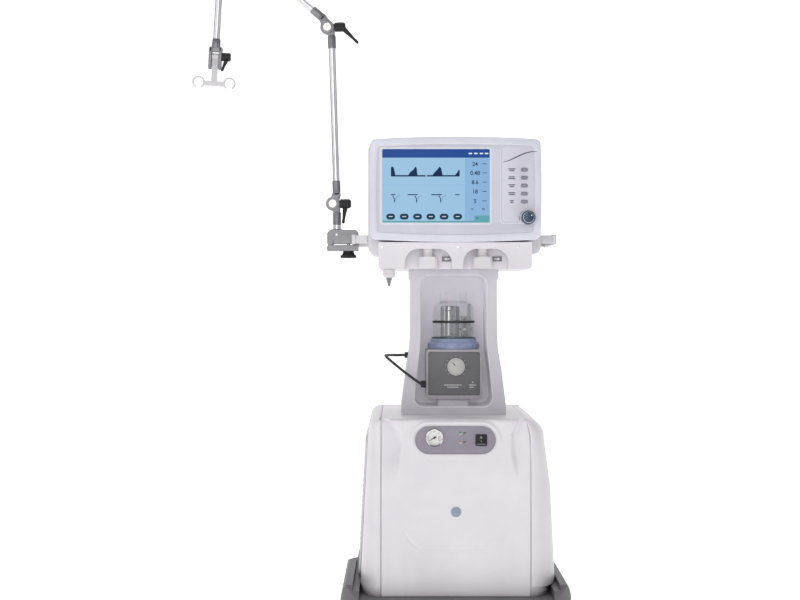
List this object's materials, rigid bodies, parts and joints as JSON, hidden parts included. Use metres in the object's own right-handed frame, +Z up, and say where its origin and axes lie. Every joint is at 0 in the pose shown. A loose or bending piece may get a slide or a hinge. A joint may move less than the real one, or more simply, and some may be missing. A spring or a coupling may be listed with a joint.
{
  "type": "mechanical ventilator",
  "caption": "Ventilator with a screen and keypad on a column with a humidifier, on a wheeled compressor cabinet, with a jointed arm that holds the breathing tubes.",
  "frame": {"origin": "on the floor, under the middle of the whole object's box", "axes": "+X to the right seen from the front, +Y to the back, +Z up"},
  "size_m": [0.9741, 0.645, 1.9117],
  "materials": {
    "gloss_white": "gloss moulded",
    "warm_white": "satin moulded",
    "base_grey": "fine textured",
    "panel_grey": "satin",
    "black_plastic": "satin",
    "face_grey": "satin",
    "ivory_plastic": "satin",
    "key_grey": "satin",
    "knob_blue": "gloss",
    "screen_glass": "smooth",
    "clear_blue": "clear moulded",
    "black_rubber": "matt",
    "tyre_grey": "matt",
    "brushed_steel": "brushed",
    "polished_steel": "polished",
    "anodised_tube": "anodised",
    "cast_alloy": "bead blasted"
  },
  "bodies": {
    "machine": {"base_tray": "base_grey", "cabinet_front": "gloss_white", "cabinet_side_left": "gloss_white", "cabinet_side_right": "gloss_white", "cabinet_back": "gloss_white", "cabinet_top": "gloss_white", "filter_cover": "warm_white", "control_plate": "panel_grey", "pressure_gauge": "brushed_steel", "compressor": "cast_alloy", "air_tank": "cast_alloy", "column_shell": "gloss_white", "humidifier_housing": "face_grey", "chamber_jar": "clear_blue", "chamber_core": "polished_steel", "lead_gland": "black_rubber", "humidifier_lead": "black_rubber", "main_chassis": "warm_white", "front_bezel": "gloss_white", "display_module": "screen_glass", "keypad_panel": "warm_white", "manifold_block": "warm_white", "inspiratory_turret": "warm_white", "expiratory_turret": "warm_white", "water_trap": "clear_blue", "rail_left": "brushed_steel", "rail_right": "brushed_steel"},
    "gauge_needle": {"gauge_needle": "black_plastic"},
    "power_rocker": {"power_rocker": "black_plastic"},
    "fan_rotor": {"fan_rotor": "black_plastic"},
    "humidifier_dial": {"humidifier_dial": "ivory_plastic"},
    "encoder_shaft": {"encoder_shaft": "brushed_steel"},
    "encoder_knob": {"encoder_knob": "knob_blue"},
    "rail_clamp": {"rail_clamp": "cast_alloy"},
    "clamp_jaw": {"clamp_jaw": "cast_alloy"},
    "clamp_knob": {"clamp_knob": "black_plastic"},
    "arm_stub": {"arm_stub": "anodised_tube"},
    "lever_lower": {"lever_lower": "black_plastic"},
    "arm_post": {"arm_post": "anodised_tube"},
    "lever_upper": {"lever_upper": "black_plastic"},
    "arm_upper_link": {"arm_upper_link": "anodised_tube"},
    "lever_apex": {"lever_apex": "black_plastic"},
    "arm_lower_link": {"arm_lower_link": "anodised_tube"},
    "tube_holder": {"tube_holder": "warm_white"},
    "lever_gripper": {"lever_gripper": "black_plastic"},
    "caster_front_left": {"caster_fork_front_left": "brushed_steel"},
    "wheel_front_left": {"caster_wheel_front_left": "tyre_grey"},
    "pedal_left": {"brake_pedal_left": "base_grey"},
    "caster_front_right": {"caster_fork_front_right": "brushed_steel"},
    "wheel_front_right": {"caster_wheel_front_right": "tyre_grey"},
    "pedal_right": {"brake_pedal_right": "base_grey"},
    "caster_rear_left": {"caster_fork_rear_left": "brushed_steel"},
    "wheel_rear_left": {"caster_wheel_rear_left": "tyre_grey"},
    "caster_rear_right": {"caster_fork_rear_right": "brushed_steel"},
    "wheel_rear_right": {"caster_wheel_rear_right": "tyre_grey"},
    "key_1": {"key_1": "key_grey"},
    "key_2": {"key_2": "key_grey"},
    "key_3": {"key_3": "key_grey"},
    "key_4": {"key_4": "key_grey"},
    "key_5": {"key_5": "key_grey"}
  },
  "joints": [
    {"name": "caster_swivel_front_left", "type": "hinge", "parent": "machine", "child": "caster_front_left", "pos_m": [-0.026, -0.219, 0.12], "axis": [0, 0, 1], "continuous": true},
    {"name": "wheel_roll_front_left", "type": "hinge", "parent": "caster_front_left", "child": "wheel_front_left", "pos_m": [-0.026, -0.247, 0.04938], "axis": [1, 0, 0], "continuous": true},
    {"name": "brake_pedal_left", "type": "hinge", "parent": "caster_front_left", "child": "pedal_left", "pos_m": [-0.026, -0.275, 0.104], "axis": [1, 0, 0], "range_deg": [0, 12]},
    {"name": "caster_swivel_front_right", "type": "hinge", "parent": "machine", "child": "caster_front_right", "pos_m": [0.418, -0.219, 0.12], "axis": [0, 0, 1], "continuous": true},
    {"name": "wheel_roll_front_right", "type": "hinge", "parent": "caster_front_right", "child": "wheel_front_right", "pos_m": [0.418, -0.247, 0.04938], "axis": [1, 0, 0], "continuous": true},
    {"name": "brake_pedal_right", "type": "hinge", "parent": "caster_front_right", "child": "pedal_right", "pos_m": [0.418, -0.275, 0.104], "axis": [1, 0, 0], "range_deg": [0, 12]},
    {"name": "caster_swivel_rear_left", "type": "hinge", "parent": "machine", "child": "caster_rear_left", "pos_m": [-0.026, 0.245, 0.12], "axis": [0, 0, 1], "continuous": true},
    {"name": "wheel_roll_rear_left", "type": "hinge", "parent": "caster_rear_left", "child": "wheel_rear_left", "pos_m": [-0.026, 0.273, 0.04938], "axis": [1, 0, 0], "continuous": true},
    {"name": "caster_swivel_rear_right", "type": "hinge", "parent": "machine", "child": "caster_rear_right", "pos_m": [0.418, 0.245, 0.12], "axis": [0, 0, 1], "continuous": true},
    {"name": "wheel_roll_rear_right", "type": "hinge", "parent": "caster_rear_right", "child": "wheel_rear_right", "pos_m": [0.418, 0.273, 0.04938], "axis": [1, 0, 0], "continuous": true},
    {"name": "key_press_1", "type": "slide", "parent": "machine", "child": "key_1", "axis": [0, 1, 0], "range_m": [0, 0.0012], "stiffness_N_per_m": 400},
    {"name": "key_press_2", "type": "slide", "parent": "machine", "child": "key_2", "axis": [0, 1, 0], "range_m": [0, 0.0012], "stiffness_N_per_m": 400},
    {"name": "key_press_3", "type": "slide", "parent": "machine", "child": "key_3", "axis": [0, 1, 0], "range_m": [0, 0.0012], "stiffness_N_per_m": 400},
    {"name": "key_press_4", "type": "slide", "parent": "machine", "child": "key_4", "axis": [0, 1, 0], "range_m": [0, 0.0012], "stiffness_N_per_m": 400},
    {"name": "key_press_5", "type": "slide", "parent": "machine", "child": "key_5", "axis": [0, 1, 0], "range_m": [0, 0.0012], "stiffness_N_per_m": 400},
    {"name": "gauge_turn", "type": "hinge", "parent": "machine", "child": "gauge_needle", "pos_m": [0.1422, -0.241, 0.588], "axis": [0, 1, 0], "range_deg": [0, 240]},
    {"name": "power_switch", "type": "hinge", "parent": "machine", "child": "power_rocker", "pos_m": [0.259, -0.2334, 0.582], "axis": [1, 0, 0], "range_deg": [0, 20]},
    {"name": "fan_spin", "type": "hinge", "parent": "machine", "child": "fan_rotor", "pos_m": [0.196, 0.241, 0.48], "axis": [0, 1, 0], "continuous": true},
    {"name": "humidifier_dial_turn", "type": "hinge", "parent": "machine", "child": "humidifier_dial", "pos_m": [0.203, -0.062, 0.757], "axis": [0, 1, 0], "range_deg": [0, 270]},
    {"name": "encoder_push", "type": "slide", "parent": "machine", "child": "encoder_shaft", "axis": [0, 1, 0], "range_m": [0, 0.0008], "stiffness_N_per_m": 600},
    {"name": "encoder_turn", "type": "hinge", "parent": "encoder_shaft", "child": "encoder_knob", "pos_m": [0.379, -0.217, 1.1395], "axis": [0, 1, 0], "continuous": true},
    {"name": "clamp_slide", "type": "slide", "parent": "machine", "child": "rail_clamp", "axis": [0, 1, 0], "range_m": [0, 0.15]},
    {"name": "clamp_screw", "type": "slide", "parent": "rail_clamp", "child": "clamp_knob", "axis": [0, 0, -1], "range_m": [0, 0.008]},
    {"name": "clamp_jaw_open", "type": "hinge", "parent": "rail_clamp", "child": "clamp_jaw", "pos_m": [-0.126, -0.07, 1.082], "axis": [0, 1, 0], "range_deg": [0, 7.5]},
    {"name": "stub_swivel", "type": "hinge", "parent": "rail_clamp", "child": "arm_stub", "pos_m": [-0.109, -0.07, 1.1], "axis": [0, 0, 1], "range_deg": [-90, 170]},
    {"name": "lower_joint", "type": "hinge", "parent": "arm_stub", "child": "arm_post", "pos_m": [-0.12, -0.07, 1.184], "axis": [0, 1, 0], "range_deg": [-100, 8]},
    {"name": "lower_lever_turn", "type": "hinge", "parent": "arm_stub", "child": "lever_lower", "pos_m": [-0.12, -0.07, 1.184], "axis": [1, 0, 0], "range_deg": [-60, 60]},
    {"name": "upper_joint", "type": "hinge", "parent": "arm_post", "child": "arm_upper_link", "pos_m": [-0.13451, -0.07, 1.64577], "axis": [0, 1, 0], "range_deg": [-40, 50]},
    {"name": "upper_lever_turn", "type": "hinge", "parent": "arm_post", "child": "lever_upper", "pos_m": [-0.13451, -0.07, 1.64577], "axis": [0.9995, 0, 0.0314], "range_deg": [-60, 60]},
    {"name": "apex_joint", "type": "hinge", "parent": "arm_upper_link", "child": "arm_lower_link", "pos_m": [-0.39839, -0.07, 1.86956], "axis": [0, 1, 0], "range_deg": [-10, 100]},
    {"name": "apex_lever_turn", "type": "hinge", "parent": "arm_upper_link", "child": "lever_apex", "pos_m": [-0.39839, -0.07, 1.86956], "axis": [0.6468, 0, 0.7627], "range_deg": [-60, 60]},
    {"name": "gripper_joint", "type": "hinge", "parent": "arm_lower_link", "child": "tube_holder", "pos_m": [-0.42723, -0.07, 1.56974], "axis": [-0.9982, 0, 0.0593], "range_deg": [-75, 75]},
    {"name": "gripper_lever_turn", "type": "hinge", "parent": "arm_lower_link", "child": "lever_gripper", "pos_m": [-0.42723, -0.07, 1.56974], "axis": [-0.9982, 0, 0.0593], "range_deg": [-60, 60]}
  ],
  "couplings": [
    {"joint": "clamp_jaw_open", "follows": "clamp_screw", "rad_per_m": 16}
  ]
}
